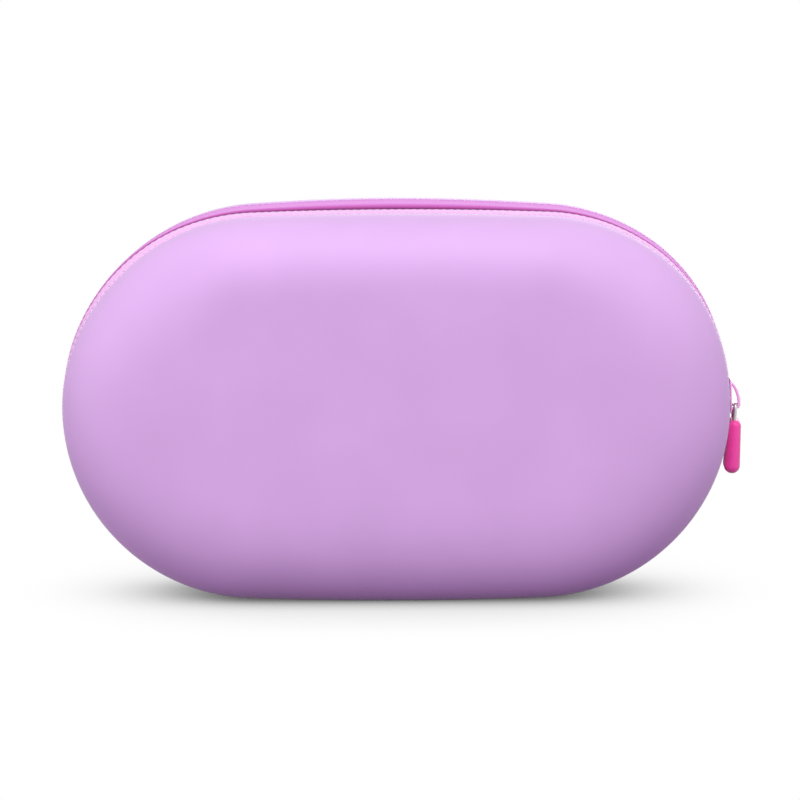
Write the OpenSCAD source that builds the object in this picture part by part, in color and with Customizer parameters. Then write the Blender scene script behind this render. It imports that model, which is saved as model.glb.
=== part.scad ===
// Soft clamshell pouch: two moulded silicone halves joined by a zip and a woven hinge.
// Millimetres, +Z up. X runs along the length, the front faces -Y. The origin is on the
// floor, in the middle of the base, where the two halves meet.

/* [Outline] */
// Length of the outline
outline_l = 198.4; // [170:0.2:240]
// Height of the outline, before the base is flattened
outline_h = 116.6; // [96:0.2:140]
// How far the top and the base bow out past the round ends
crown_rise = 0.8; // [0.4:0.1:2]
// Length of the flat that the pouch stands on
base_flat_l = 50; // [20:1:60]

/* [Half shells] */
// Depth of one half, from the middle plane to its face
half_depth = 29; // [24:0.5:36]
// Thickness of the moulded wall
wall = 2; // [1.7:0.1:2.6]
// Depth of the straight side, from the middle plane to the start of the shoulder
side_w = 11.5; // [11.5:0.5:16]
// Radius of the flat's round ends in the middle of the face
face_flat_r = 22; // [16:0.5:26]
// Fullness of the shoulder across the face, a higher power being flatter
face_power = 2.7; // [2:0.1:4]
// Fullness of the shoulder along the depth
side_power = 1.8; // [1.6:0.1:3]
// Radius that softens the outer edge next to the tape
edge_soft = 0.4; // [0.2:0.05:0.6]
// How far the rear rim rises over the middle of the top
rear_rise = 1.5; // [0:0.1:2]
// Length of the top over which the rear rim rises
rear_rise_l = 150; // [100:2:160]

/* [Zip] */
// Width of one tape, from the middle plane to the edge of the shell
tape_w = 9.4; // [9:0.1:10.5]
// Thickness of the woven tape
tape_t = 0.8; // [0.6:0.05:0.9]
// Gap between the edges of the two tapes
slit_w = 0.7; // [0.4:0.05:1]
// Width of one coil, across the tape
coil_w = 2.8; // [2.4:0.1:3]
// Height of the coil under the tape
coil_h = 2.2; // [1.8:0.1:2.6]
// Gap between the two coils
coil_gap = 0.2; // [0.1:0.05:0.4]
// Bevel on the corners of the coil's section
coil_bevel = 0.6; // [0.3:0.1:0.8]
// Thickness of the filler cord inside each coil
cord_d = 1; // [0.7:0.1:1.1]
// Thickness of the thread that sews the coil to the tape
coil_thread_d = 0.3; // [0.2:0.05:0.35]
// Distance of the coil's thread from the edge of its tape
coil_thread_inset = 1.2; // [0.9:0.1:1.6]
// Thickness of the seam thread
seam_thread_d = 0.4; // [0.3:0.05:0.5]
// Distance of the seam from the outer edge of the tape
seam_inset = 1.4; // [1:0.1:2]
// How far the shell's sewing flange stays from the middle plane
flange_start = 5.3; // [5.2:0.1:6]
// Length of the end stops along the zip
stop_l = 3; // [2:0.5:5]
// How much wider and higher an end stop is than the coil
stop_over = 0.4; // [0.2:0.1:0.5]
// Gap between the hinge strip and the ends of the tapes
hinge_gap = 0.8; // [0.5:0.1:2]

/* [Slider] */
// Length of the slider along the zip
slider_l = 10.4; // [9:0.2:12]
// Width of the slider at its mouth, where the coils come in
slider_mouth_w = 9.6; // [9.2:0.1:9.8]
// Width of the slider at its tail
slider_tail_w = 8.6; // [8.5:0.1:9]
// Thickness of the slider's plates
plate_t = 1; // [0.8:0.1:1.3]
// Cut on the corners of the slider's plates
plate_corner = 1; // [0.6:0.1:1.4]
// Thickness of the slider's side walls
slider_wall = 0.9; // [0.7:0.1:1]
// Width of the wedge that parts the coils
wedge_w = 1.4; // [1.1:0.1:1.6]
// Length of the wedge
wedge_l = 2.6; // [2:0.1:3.5]
// Width of the bridge across the zip
bridge_w = 2.6; // [2:0.1:3]
// Thickness of the bridge's bar
bridge_t = 1.2; // [0.9:0.1:1.3]
// Height of the bridge over the slider's top plate
bridge_h = 2.9; // [2.8:0.1:3.6]
// Place of the slider on the round end, in degrees above its middle
slider_angle = 1.4; // [-40:0.2:78]

/* [Pull] */
// Thickness of the link's wire
link_wire_d = 1.1; // [0.9:0.05:1.2]
// Distance between the link's two legs
link_w = 5.6; // [5.2:0.1:6.4]
// Bend radius at the link's upper corners
link_bend_r = 1.2; // [0.9:0.1:1.6]
// Length of the link that shows above the pull
link_l = 4.6; // [4.4:0.1:7]
// How deep the legs sit in the pull
leg_depth = 3.4; // [2.5:0.1:5]
// Length of the silicone pull
tab_l = 16.8; // [14:0.2:24]
// Width of the pull
tab_w = 9.4; // [9:0.1:12]
// Thickness of the pull at its upper end
tab_top_t = 4.2; // [3.6:0.1:4.2]
// Thickness of the pull at its lower end
tab_low_t = 5; // [4.2:0.1:5.4]
// How far the pull leans in towards the rim, in degrees
pull_lean = 2; // [0:0.5:3]

/* [Clearances] */
// Gap between sewn layers that lie on each other
seam_clear = 0.1; // [0.08:0.01:0.2]
// Gap between the slider and what runs through it
slider_clear = 0.3; // [0.2:0.05:0.35]
// Gap round the link's bar and legs at the slider
link_clear = 0.25; // [0.15:0.05:0.3]
// Play of the link's bar along the zip, over the bridge's lower end
link_play = 0.75; // [0.6:0.05:1]
// Gap round the legs in the pull
leg_clear = 0.05; // [0.03:0.01:0.1]

/* [Hidden] */
// The outline is four tangent arcs: two round ends, a bowed top and a bowed base.
half_l = outline_l / 2;
half_h = outline_h / 2;
end_r = half_h - crown_rise;
end_x = half_l - end_r;
crown_r = (end_x * end_x + half_h * half_h - end_r * end_r) / (2 * (half_h - end_r));
// Normal angle at which a round end meets the bowed top, above or below level.
end_span = acos(end_x / (crown_r - end_r));
base_cut = crown_r - sqrt(crown_r * crown_r - base_flat_l * base_flat_l / 4);
mid_z = half_h - base_cut;
// How far in from the outline the shoulder reaches.
shoulder_reach = end_r - face_flat_r;
// One overrun for all cuts.
over = 1;
// Where one arc runs into the next, they lap by this angle.
lap_a = 0.1;
// Steps along the outline, counted on one arc.
end_steps = 28;
crown_steps = 14;
// Steps round the shoulder's curve.
shoulder_steps = 9;
// Sides of the filler cord.
cord_sides = 6;

// Depth and height of what lies at the zip, as offsets from the outline.
tape_in = slit_w / 2;
rebate = tape_t + seam_clear;
coil_in = coil_gap / 2;
coil_low = rebate + coil_h;
thread_d0 = tape_in + coil_thread_inset;
seam_d0 = tape_w - seam_inset;
coil_groove = [coil_thread_d / 2 + seam_clear, coil_thread_d + seam_clear];
seam_groove = [seam_thread_d / 2 + seam_clear, seam_thread_d + seam_clear];
bore_d = cord_d + 2 * seam_clear;
// The tape starts to rise with the rear rim past the coil and its side wall.
rise_start = coil_in + coil_w + seam_clear;
stop_a = stop_l / end_r * 180 / PI;
tail_a = hinge_gap / end_r * 180 / PI;

// The slider's plates are flat, so the curved coil drops away from them by this much.
slider_sag = end_r - sqrt(end_r * end_r - slider_l * slider_l / 4);
top_in = slider_clear;
top_out = top_in + plate_t;
low_out = coil_low + slider_clear + slider_sag;
wall_in = coil_in + coil_w + slider_clear;
wall_top = rebate + slider_clear;
// Side view of the bridge: shares of its height over the plate and of the slider's length.
bridge_shares = [[-0.15, 0.42], [0.55, 0.22], [0.96, -0.08], [1, -0.25], [0.7, -0.39], [-0.15, -0.42]];
// The link's bar lies on the top plate, against the lower end of the bridge.
pivot_n = top_out + link_clear + link_wire_d / 2;
pivot_u = bridge_shares[5][1] * slider_l + bridge_t / 2 + link_wire_d / 2 + link_play;
// Where the wedge ends, at the mouth.
wedge_u = -slider_l / 2 + plate_corner / 2;

silicone = "#D4A7E2";
tape_pink = "#F0A8F0";
coil_pink = "#E07FD8";
thread_pink = "#F6B9F4";
enamel_pink = "#FDB4F0";
nickel = "#B9B7BB";
pull_pink = "#FF2E9A";

// Point of the outline at normal angle a, counted from +X towards +Z, moved out by n.
function rim_point(a, n) =
    let (b = (a % 360 + 360) % 360)
    let (right = b <= end_span || b >= 360 - end_span)
    let (left = b >= 180 - end_span && b <= 180 + end_span)
    let (side = b < 180 ? 1 : -1)
    right ? [end_x + (end_r + n) * cos(b), mid_z + (end_r + n) * sin(b)]
    : left ? [-end_x + (end_r + n) * cos(b), mid_z + (end_r + n) * sin(b)]
    : [(crown_r + n) * cos(b), mid_z + side * (half_h - crown_r) + (crown_r + n) * sin(b)];

// Normal angles from one value to another in equal steps.
function span(from, to, steps) = [for (i = [0 : steps]) from + (to - from) * i / steps];
// The same angles with one more in the middle of each step.
function halved(list) = concat(
    [for (k = [0 : len(list) - 2]) for (part = [0, 0.5]) list[k] + (list[k + 1] - list[k]) * part],
    [list[len(list) - 1]]);
// Normal angles over the base, between the two round ends.
base_angles = span(180 + end_span, 360 - end_span, crown_steps);
// Normal angles over the whole rim: right end, top, left end, base.
rim_angles = concat(
    span(-end_span, end_span, end_steps),
    [for (a = span(end_span, 180 - end_span, crown_steps)) if (a > end_span) a],
    [for (a = span(180 - end_span, 180 + end_span, end_steps)) if (a > 180 - end_span) a],
    [for (a = base_angles) if (a > 180 + end_span && a < 360 - end_span) a]);
// Normal angles over the zip, at the same places, with its own two ends.
zip_from = -end_span + tail_a;
zip_to = 180 + end_span - tail_a;
zip_angles = concat([zip_from], [for (a = rim_angles) if (a > zip_from && a < zip_to) a], [zip_to]);

// Share of the rear rise at a place x along the top: a smooth hump, none on the lower half.
function hump_share(a, x) =
    (a % 360 + 360) % 360 > 180 || abs(x) > rear_rise_l / 2 ? 0
    : pow(cos(180 * x / rear_rise_l), 2);

// A row is [depth, offset, share of the rise]. Its point at normal angle a, for a half on
// side s: -1 is the front, 1 the rear. Only the rear one rises.
function row_point(row, a, s) =
    let (p = rim_point(a, row[1]))
    let (up = s > 0 ? rear_rise * row[2] * hump_share(a, p[0]) : 0)
    [p[0], s * row[0], max(p[1] + up, 0)];

// How much of the rise a place of depth d on the flat rim takes.
function rim_share(d) = min(1, max(0, (d - rise_start) / (tape_w - rise_start)));

// Outer curve of the shoulder and face at t degrees: depth and distance in from the outline.
function shoulder(t) =
    [side_w + (half_depth - side_w) * pow(sin(t), 2 / side_power),
     shoulder_reach * (1 - pow(cos(t), 2 / face_power))];
// Outward normal of that curve: along the depth and in towards the middle.
function shoulder_normal(t) =
    let (q = pow(cos(t), 2 / face_power))
    let (e = pow(sin(t), 2 / side_power))
    let (gi = -face_power * pow(q, face_power - 1) / shoulder_reach)
    let (gd = side_power * pow(e, side_power - 1) / (half_depth - side_w))
    [gd, gi] / norm([gd, gi]);
function outer_row(t) =
    let (c = shoulder(t))
    [c[0], -c[1], pow(1 - c[1] / shoulder_reach, 2)];
function inner_row(t) =
    let (c = shoulder(t) - wall * shoulder_normal(t))
    [c[0], -c[1], pow(1 - min(c[1] / shoulder_reach, 1), 2)];
shoulder_angles = span(90, 0, shoulder_steps);

// Rows of a half shell, from the middle of its face over the rim to the inside.
shell_rows = concat(
    [for (t = shoulder_angles) outer_row(t)],
    [[tape_w + seam_clear + edge_soft, 0, 1],
     [tape_w + seam_clear, -edge_soft, 1],
     [tape_w + seam_clear, -rebate, 1],
     [flange_start, -rebate, rim_share(flange_start)],
     [flange_start, -wall, rim_share(flange_start)],
     [tape_w + seam_clear, -wall, 1]],
    [for (t = [0 : 90 / shoulder_steps : 90]) inner_row(t)]);

// Skin over a grid of rows and columns. The columns close on each other if ring is true,
// and the rows close on each other if loop is true. A ring without a loop is closed by its
// first and last rows. An open strip has end faces made of the polygons in cap, by row.
module skin(rows, angles, s, ring, loop, cap = []) {
    m = len(rows);
    n = len(angles);
    points = [for (r = rows) for (a = angles) row_point(r, a, s)];
    sides = [for (i = [0 : loop ? m - 1 : m - 2]) for (j = [0 : ring ? n - 1 : n - 2])
        let (i2 = (i + 1) % m, j2 = (j + 1) % n)
        [i * n + j, i * n + j2, i2 * n + j2, i2 * n + j]];
    ends = ring ? (loop ? [] : [[for (j = [n - 1 : -1 : 0]) j], [for (j = [0 : n - 1]) (m - 1) * n + j]])
        : concat([for (f = cap) [for (k = [len(f) - 1 : -1 : 0]) f[k] * n + n - 1]],
            [for (f = cap) [for (i = f) i * n]]);
    faces = concat(sides, ends);
    polyhedron(points, s < 0 ? faces : [for (f = faces) [for (k = [len(f) - 1 : -1 : 0]) f[k]]]);
}

// Carries flat sections, with depth up and offset across, along the round ends and the top.
module along_zip(from, to) {
    translate([end_x, 0, mid_z])
        rotate([90, 0, 0])
            rotate_extrude(angle = end_span + lap_a - from, start = from, $fn = 180)
                translate([end_r, 0])
                    children();
    translate([0, 0, mid_z + half_h - crown_r])
        rotate([90, 0, 0])
            rotate_extrude(angle = 180 - 2 * end_span, start = end_span, $fn = 1440)
                translate([crown_r, 0])
                    children();
    translate([-end_x, 0, mid_z])
        rotate([90, 0, 0])
            rotate_extrude(angle = to - 180 + end_span + lap_a, start = 180 - end_span - lap_a,
                $fn = 180)
                translate([end_r, 0])
                    children();
}

// Stretch of the same kind on one round end, from one normal angle to another.
module along_end(side, from, to) {
    translate([side * end_x, 0, mid_z])
        rotate([90, 0, 0])
            rotate_extrude(angle = to - from, start = from, $fn = 180)
                translate([end_r, 0])
                    children();
}

// Puts children on the right-hand round end: X out from its centre, Z up along the zip.
module at_rim(a) {
    translate([end_x, 0, mid_z])
        rotate([0, -a, 0])
            children();
}

// Puts children at the link's bar, with Z up the pull.
module at_pivot() {
    at_rim(slider_angle)
        translate([end_r + pivot_n, 0, pivot_u])
            rotate([0, slider_angle + pull_lean, 0])
                children();
}

module rear_side() {
    mirror([0, 1, 0])
        children();
}

// Room that the slider's wedge takes between the tapes and coils.
module wedge_room() {
    at_rim(slider_angle)
        translate([end_r - low_out - over, -wedge_w / 2 - slider_clear / 2, wedge_u - slider_clear])
            cube([low_out + 2 * over, wedge_w + slider_clear, wedge_l + 2 * slider_clear]);
}

module half_shell(s) {
    color(silicone)
        skin(shell_rows, rim_angles, s, true, false);
}

// Four corners of a thread's groove, from its far side to its near side: half width, depth.
function groove_rows(d, g) = [
    [d + g[0], 0, rim_share(d + g[0])],
    [d + g[0], -g[1], rim_share(d + g[0])],
    [d - g[0], -g[1], rim_share(d - g[0])],
    [d - g[0], 0, rim_share(d - g[0])]];

// The tape's end face as six polygons, by row: outer edge, seam groove, middle, thread groove.
tape_cap = [[3, 4, 5, 6], [2, 3, 6, 7], [2, 7, 8, 9], [2, 9, 10, 11], [1, 2, 11, 12], [0, 1, 12, 13]];

// The zip tape has shallow grooves where the threads are pulled into the weave.
module zip_tape(s) {
    rows = concat(
        [[tape_in, 0, 0],
         [tape_in, -tape_t, 0],
         [rise_start, -tape_t, 0],
         [tape_w, -tape_t, 1],
         [tape_w, 0, 1]],
        groove_rows(seam_d0, seam_groove),
        [[rise_start, 0, 0]],
        groove_rows(thread_d0, coil_groove));
    color(tape_pink)
        difference() {
            skin(rows, zip_angles, s, false, true, tape_cap);
            wedge_room();
        }
}

// Section of one coil: a bevelled block with the cord's bore.
module coil_section() {
    difference() {
        polygon([
            [-rebate, coil_in + coil_bevel],
            [-rebate, coil_in + coil_w - coil_bevel],
            [-rebate - coil_bevel, coil_in + coil_w],
            [-coil_low + coil_bevel, coil_in + coil_w],
            [-coil_low, coil_in + coil_w - coil_bevel],
            [-coil_low, coil_in + coil_bevel],
            [-coil_low + coil_bevel, coil_in],
            [-rebate - coil_bevel, coil_in]]);
        translate([-rebate - coil_h / 2, coil_in + coil_w / 2])
            circle(d = bore_d, $fn = 24);
    }
}

module zip_coil() {
    color(coil_pink)
        difference() {
            along_zip(zip_from + stop_a, zip_to - stop_a)
                coil_section();
            wedge_room();
        }
}

// The cord bends in finer steps than its neighbours, since it lies in the coil's round bore.
module core_cord(s) {
    rows = [for (t = [0 : 360 / cord_sides : 359])
        [coil_in + coil_w / 2 + cord_d / 2 * cos(t), -rebate - coil_h / 2 + cord_d / 2 * sin(t), 0]];
    angles = [for (a = halved(zip_angles)) if (a > zip_from + stop_a && a < zip_to - stop_a) a];
    color(tape_pink)
        skin(rows, concat([zip_from + stop_a], angles, [zip_to - stop_a]), s, false, true,
            [[for (k = [0 : cord_sides - 1]) k]]);
}

// A strand that lies in its groove, over the normal angles given. It is pressed flat where
// the base meets the floor.
module thread(d0, thread_d, angles, s, ring) {
    w = thread_d / 2;
    top = -seam_clear / 2;
    rows = [
        [d0 - w / 2, top, rim_share(d0)],
        [d0 - w, top - thread_d, rim_share(d0)],
        [d0 + w, top - thread_d, rim_share(d0)],
        [d0 + w / 2, top, rim_share(d0)]];
    color(thread_pink)
        skin(rows, angles, s, ring, true, [[0, 1, 2, 3]]);
}

module coil_thread(s) {
    thread(thread_d0, coil_thread_d, zip_angles, s, false);
}

// One seam runs all round each half, through the tape, the hinge strip and the flange.
module seam_thread(s) {
    thread(seam_d0, seam_thread_d, rim_angles, s, true);
}

// The hinge strip's end face: by row, edge, under a groove, middle, then the other half.
strip_cap = [[0, 1, 2, 3], [0, 3, 4], [0, 4, 7, 11], [4, 5, 6, 7], [11, 7, 8], [8, 9, 10, 11]];

// The hinge strip is one width of tape for each half, cut flat at the floor.
module hinge_strip() {
    groove = groove_rows(seam_d0, seam_groove);
    half = concat([[tape_w, -tape_t, 0], [tape_w, 0, 0]], groove);
    rows = concat(half, [for (k = [len(half) - 1 : -1 : 0]) [-half[k][0], half[k][1], 0]]);
    color(tape_pink)
        skin(rows, base_angles, 1, false, true, strip_cap);
}

module end_stop(side, from, to, both) {
    reach = coil_in + coil_w + stop_over;
    color(coil_pink)
        along_end(side, from, to)
            translate([-coil_low - stop_over, both ? -reach : coil_in])
                square([coil_h + stop_over, both ? 2 * reach : reach - coil_in]);
}

// One plate of the slider, seen from outside, wider at its mouth.
module slider_plate() {
    m = slider_mouth_w / 2;
    t = slider_tail_w / 2;
    l = slider_l / 2;
    c = plate_corner;
    rotate([90, 0, 90])
        linear_extrude(plate_t)
            polygon([
                [-m + c, -l], [m - c, -l], [m, -l + c], [m, -l + wedge_l],
                [t, c], [t, l - c], [t - c, l],
                [-t + c, l], [-t, l - c], [-t, c],
                [-m, -l + wedge_l], [-m, -l + c]]);
}

// Point of the bridge's middle line, as offset from the outline and place along the zip.
function bridge_point(k) =
    [top_out + bridge_shares[k][0] * (bridge_h - bridge_t / 2), bridge_shares[k][1] * slider_l];

module slider_body() {
    color(enamel_pink)
        at_rim(slider_angle)
            translate([end_r, 0, 0]) {
                translate([top_in, 0, 0])
                    slider_plate();
                translate([-low_out - plate_t, 0, 0])
                    slider_plate();
                for (y = [-wall_in - slider_wall, wall_in])
                    translate([-low_out - plate_t / 2, y, -slider_l / 2 + plate_corner])
                        cube([low_out + plate_t / 2 - wall_top, slider_wall, slider_l - 2 * plate_corner]);
                translate([-low_out - plate_t / 2, -wedge_w / 2, wedge_u])
                    cube([low_out + top_in + plate_t, wedge_w, wedge_l]);
                rotate([90, 0, 0])
                    linear_extrude(bridge_w, center = true)
                        for (k = [0 : len(bridge_shares) - 2])
                            hull() {
                                translate(bridge_point(k))
                                    circle(d = bridge_t, $fn = 32);
                                translate(bridge_point(k + 1))
                                    circle(d = bridge_t, $fn = 32);
                            }
            }
}

// Bar, two bends and two legs of one bent wire.
module pull_link() {
    color(nickel)
        at_pivot() {
            rotate([90, 0, 0])
                cylinder(h = link_w - 2 * link_bend_r, d = link_wire_d, center = true, $fn = 32);
            for (side = [0, 1])
                mirror([0, side, 0])
                    translate([0, link_w / 2 - link_bend_r, -link_bend_r])
                        rotate([90, 0, 90])
                            rotate_extrude(angle = 90, $fn = 64)
                                translate([link_bend_r, 0])
                                    circle(d = link_wire_d, $fn = 32);
            for (side = [-1, 1])
                translate([0, side * link_w / 2, -link_l - leg_depth])
                    cylinder(h = link_l + leg_depth - link_bend_r, d = link_wire_d, $fn = 32);
        }
}

module pull_tab() {
    color(pull_pink)
        at_pivot()
            difference() {
                hull()
                    for (s = [-1, 1]) {
                        translate([0, s * (tab_w - tab_top_t) / 2, -link_l - tab_top_t / 2])
                            sphere(d = tab_top_t, $fn = 24);
                        translate([0, s * (tab_w - tab_low_t) / 2, -link_l - tab_l + tab_low_t / 2])
                            sphere(d = tab_low_t, $fn = 24);
                    }
                for (s = [-1, 1])
                    translate([0, s * link_w / 2, -link_l - leg_depth - leg_clear])
                        cylinder(h = leg_depth + link_bend_r, d = link_wire_d + 2 * leg_clear, $fn = 32);
            }
}

half_shell(-1);  // front_shell
half_shell(1);  // rear_shell
hinge_strip();
zip_tape(-1);  // front_zip_tape
zip_tape(1);  // rear_zip_tape
zip_coil();  // front_zip_coil
rear_side() zip_coil();  // rear_zip_coil
core_cord(-1);  // front_core_cord
core_cord(1);  // rear_core_cord
coil_thread(-1);  // front_coil_thread
coil_thread(1);  // rear_coil_thread
seam_thread(-1);  // front_seam_thread
seam_thread(1);  // rear_seam_thread
end_stop(-1, zip_to - stop_a, zip_to, true);  // bottom_stop
end_stop(1, zip_from, zip_from + stop_a, false);  // front_top_stop
rear_side() end_stop(1, zip_from, zip_from + stop_a, false);  // rear_top_stop
slider_body();
pull_link();
pull_tab();
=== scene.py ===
"""Silicone pouch: two moulded halves, a coil zip round the rim, a slider and its pull.

All sizes are in millimetres until a mesh is made, and every mesh is in metres, in the same
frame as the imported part: +X towards the slider, -Y to the front, +Z up.
"""
import logging
import math
from collections.abc import Callable
from dataclasses import dataclass, field
from enum import Enum
from typing import Any

import bmesh
import bpy
import numpy as np
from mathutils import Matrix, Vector
from numpy.typing import NDArray


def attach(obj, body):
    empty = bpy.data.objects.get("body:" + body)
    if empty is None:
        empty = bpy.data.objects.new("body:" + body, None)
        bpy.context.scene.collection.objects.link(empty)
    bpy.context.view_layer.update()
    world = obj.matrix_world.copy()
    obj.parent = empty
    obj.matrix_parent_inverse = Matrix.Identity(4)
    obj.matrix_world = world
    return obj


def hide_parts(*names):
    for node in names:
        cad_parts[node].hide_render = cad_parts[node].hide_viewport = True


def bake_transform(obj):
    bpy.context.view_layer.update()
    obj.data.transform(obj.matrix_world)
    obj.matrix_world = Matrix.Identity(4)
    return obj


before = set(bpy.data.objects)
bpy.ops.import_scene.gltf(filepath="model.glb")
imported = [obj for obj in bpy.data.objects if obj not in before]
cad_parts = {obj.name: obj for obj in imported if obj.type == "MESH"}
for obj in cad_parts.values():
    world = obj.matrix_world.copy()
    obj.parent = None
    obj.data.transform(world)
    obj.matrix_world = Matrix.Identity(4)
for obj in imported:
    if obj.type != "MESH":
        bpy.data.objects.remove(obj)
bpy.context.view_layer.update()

Array = NDArray[np.float64]
Inputs = dict[Any, Any]
Node = bpy.types.Node
Piece = bpy.types.Object
Spread = tuple[float, float, float, float]
Tree = bpy.types.NodeTree
LOG = logging.getLogger("pouch")
MM = 0.001
QUARTER, TURN = math.pi / 2, 2 * math.pi
PATTERN = "weave"
# Places nearer than JOIN are merged and edges shorter than SPECK dissolved. Strands stay
# smooth at edges up to STRAND_SHARP degrees.
JOIN, SPECK = 0.002 * MM, 0.0005 * MM
STRAND_SHARP = 80.0


class Side(Enum):
    """The two halves of the pouch, by the sign of Y."""

    FRONT = -1
    REAR = 1

    def of(self, name: str) -> str:
        """Name of something that belongs to this half."""
        return f"{self.name.lower()}_{name}"

    @property
    def body(self) -> str:
        """Moving body that the half's pieces ride on."""
        return self.of("half")


# Colours and shader nodes


def linear(colour: str) -> tuple[float, float, float, float]:
    """Turns an sRGB hex colour to linear light.

    Args:
        colour: Six hex digits after a hash sign.

    Returns:
        Red, green, blue and an alpha of 1.
    """
    parts = np.array([int(colour[k:k + 2], 16) for k in (1, 3, 5)]) / 255.0
    low, high = parts / 12.92, ((parts + 0.055) / 1.055) ** 2.4
    red, green, blue = np.where(parts <= 0.04045, low, high)
    return float(red), float(green), float(blue), 1.0


def feed(tree: Tree, node: Node, inputs: Inputs) -> None:
    """Gives a node's inputs their plain values and links.

    Args:
        tree: Node tree that holds the node.
        node: Node that is fed.
        inputs: By the input's name or number: a value, an output socket, or a node, whose
            first output is taken.
    """
    for name, value in inputs.items():
        source = value.outputs[0] if isinstance(value, Node) else value
        if isinstance(source, bpy.types.NodeSocket):
            tree.links.new(source, node.inputs[name])
        else:
            node.inputs[name].default_value = source


def add(tree: Tree, kind: str, inputs: Inputs | None = None, **settings: Any) -> Node:
    """Adds one node with its settings, its plain values and its links.

    Args:
        tree: Node tree that gets the node.
        kind: Blender's name of the node type.
        inputs: What its inputs are fed with.
        **settings: Attributes of the node, such as its operation.

    Returns:
        The new node.
    """
    node = tree.nodes.new(kind)
    for name, value in settings.items():
        setattr(node, name, value)
    feed(tree, node, inputs or {})
    return node


def spread(value: Any, start: float, end: float, low: float, high: float) -> Inputs:
    """Inputs that make a value from start to end run from low to high."""
    return {"Value": value, "From Min": start, "From Max": end, "To Min": low, "To Max": high}


def wave(tree: Tree, run: Any, pitch: float) -> Node:
    """Adds the sine of a run, once round in each pitch."""
    turn = add(tree, "ShaderNodeMath", {0: run, 1: TURN / pitch}, operation="MULTIPLY")
    return add(tree, "ShaderNodeMath", {0: turn}, operation="SINE")


def flat_place(tree: Tree) -> tuple[Any, Any]:
    """Adds the piece's own pattern coordinates: along it in mm, and across or round it."""
    flat = add(tree, "ShaderNodeUVMap", uv_map=PATTERN)
    return tuple(add(tree, "ShaderNodeSeparateXYZ", {0: flat}).outputs)[:2]


def bare_material(name: str) -> bpy.types.Material:
    """Makes a material with no nodes in its tree yet.

    Args:
        name: Name of the material.

    Returns:
        The new material.
    """
    made = bpy.data.materials.new(name)
    made.use_nodes = True
    made.node_tree.nodes.clear()
    return made


# Finishes


@dataclass(frozen=True)
class Finish:
    """A named material: one plain shader that patterns shade, roughen and dent.

    A spread holds where a pattern's values start and end, and what they then run between:
    shares of the colour's brightness, or how much less and more than the roughness.
    """

    name: str
    colour: str
    roughness: float
    pattern_mm: float = 1.0
    pattern_detail: float = 2.0
    pattern_rough: float = 0.5
    shade: Spread | None = None
    uneven: Spread | None = None
    dent: float = 0.0
    relief_mm: float = 0.03

    def values(self) -> Inputs:
        """Plain values of the shader."""
        return {}

    def dents(self, tree: Tree) -> Any:
        """Adds the pattern that dents the surface: noise on the piece's own coordinates."""
        return add(tree, "ShaderNodeTexNoise", {
            "Vector": add(tree, "ShaderNodeTexCoord").outputs["Object"],
            "Scale": 1.0 / (self.pattern_mm * MM), "Detail": self.pattern_detail,
            "Roughness": self.pattern_rough})

    def tones(self, tree: Tree, dents: Any) -> Any:
        """The pattern that shades and roughens the surface: the dents' own."""
        return dents

    def base_colour(self, tree: Tree) -> Any:
        """The colour before it is shaded."""
        return linear(self.colour)

    def material(self) -> bpy.types.Material:
        """Makes the material, unless it is there already.

        Returns:
            The material.
        """
        found = bpy.data.materials.get(self.name)
        if found:
            return found
        made = bare_material(self.name)
        made.diffuse_color = linear(self.colour)
        tree = made.node_tree
        shader = add(tree, "ShaderNodeBsdfPrincipled", {
            "Base Color": linear(self.colour), "Roughness": self.roughness, **self.values()})
        dents = self.dents(tree)
        tones = self.tones(tree, dents)
        if self.shade:
            feed(tree, shader, {"Base Color": add(tree, "ShaderNodeHueSaturation", {
                "Value": add(tree, "ShaderNodeMapRange", spread(tones, *self.shade)),
                "Color": self.base_colour(tree)})})
        if self.uneven:
            start, end, less, more = self.uneven
            feed(tree, shader, {"Roughness": add(tree, "ShaderNodeMapRange", spread(
                tones, start, end, self.roughness - less, self.roughness + more))})
        if self.dent:
            feed(tree, shader, {"Normal": add(tree, "ShaderNodeBump", {
                "Height": dents, "Strength": self.dent, "Distance": self.relief_mm * MM})})
        add(tree, "ShaderNodeOutputMaterial", {"Surface": shader})
        return made


@dataclass(frozen=True)
class MouldedSilicone(Finish):
    """Silicone rubber from a bead-blasted mould, with a soft-touch skin.

    It gives the eye an even colour, a broad soft sheen with no sharp reflection, a faint
    mottle of the pigment and a very fine grain that breaks the sheen up.
    """

    # Real blasting is 0.1 mm grit; the grain is drawn coarser so that it shows.
    pattern_mm: float = 0.9
    pattern_detail: float = 3.0
    pattern_rough: float = 0.6
    shade: Spread | None = (0.3, 0.7, 0.97, 1.03)
    uneven: Spread | None = (0.3, 0.7, 0.03, 0.03)
    dent: float = 0.35
    relief_mm: float = 0.012
    cloud_mm: float = 28.0
    sheen: float = 0.2
    gloss: float = 0.5

    def values(self) -> Inputs:
        """Plain values of the shader: silicone's own, with its sheen and gloss."""
        return {"IOR": 1.41, "Specular IOR Level": self.gloss,
                "Sheen Weight": self.sheen, "Sheen Roughness": 0.5}

    def tones(self, tree: Tree, dents: Any) -> Any:
        """Adds the mottle, a wide soft noise."""
        return add(tree, "ShaderNodeTexNoise", {
            "Vector": add(tree, "ShaderNodeTexCoord").outputs["Object"],
            "Scale": 1.0 / (self.cloud_mm * MM), "Detail": 2.0})


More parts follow.
